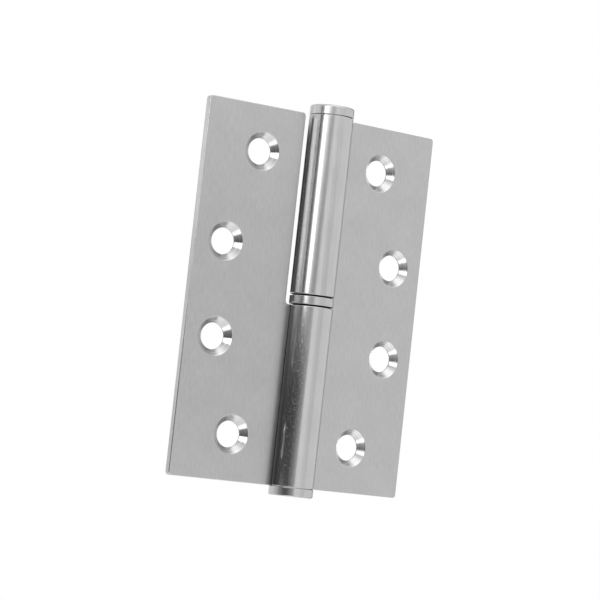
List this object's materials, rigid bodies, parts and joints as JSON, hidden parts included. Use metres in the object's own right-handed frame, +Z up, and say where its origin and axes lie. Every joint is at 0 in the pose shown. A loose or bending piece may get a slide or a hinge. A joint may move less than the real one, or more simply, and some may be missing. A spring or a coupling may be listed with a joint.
{
  "type": "lift-off hinge",
  "caption": "Lift-off door hinge in satin steel: flat leaves rolled round a fixed pin, with a bearing washer between the knuckles and a round cap at each end.",
  "frame": {"origin": "on the pin axis, halfway up the barrel", "axes": "+Z up the pin, the way the door leaf lifts off; +Y from the pin towards the flush backs of the leaves, the frame leaf lying to -X and the door leaf to +X"},
  "size_m": [0.0747, 0.0125, 0.1051],
  "materials": {
    "leaf_steel": "satin, grained along the pin",
    "pin_steel": "turned and ground",
    "washer_steel": "satin, turned",
    "cap_steel": "satin, turned"
  },
  "bodies": {
    "frame": {"frame_leaf": "leaf_steel", "hinge_pin": "pin_steel", "bottom_cap": "cap_steel"},
    "washer": {"bearing_washer": "washer_steel"},
    "door": {"door_leaf": "leaf_steel", "top_cap": "cap_steel"}
  },
  "joints": [
    {"name": "swing", "type": "hinge", "parent": "frame", "child": "washer", "pos_m": [0, 0, 0], "axis": [0, 0, 1], "range_deg": [-185.4, 84.6]},
    {"name": "lift_off", "type": "slide", "parent": "washer", "child": "door", "axis": [0, 0, 1], "range_m": [0, 0.046]}
  ]
}
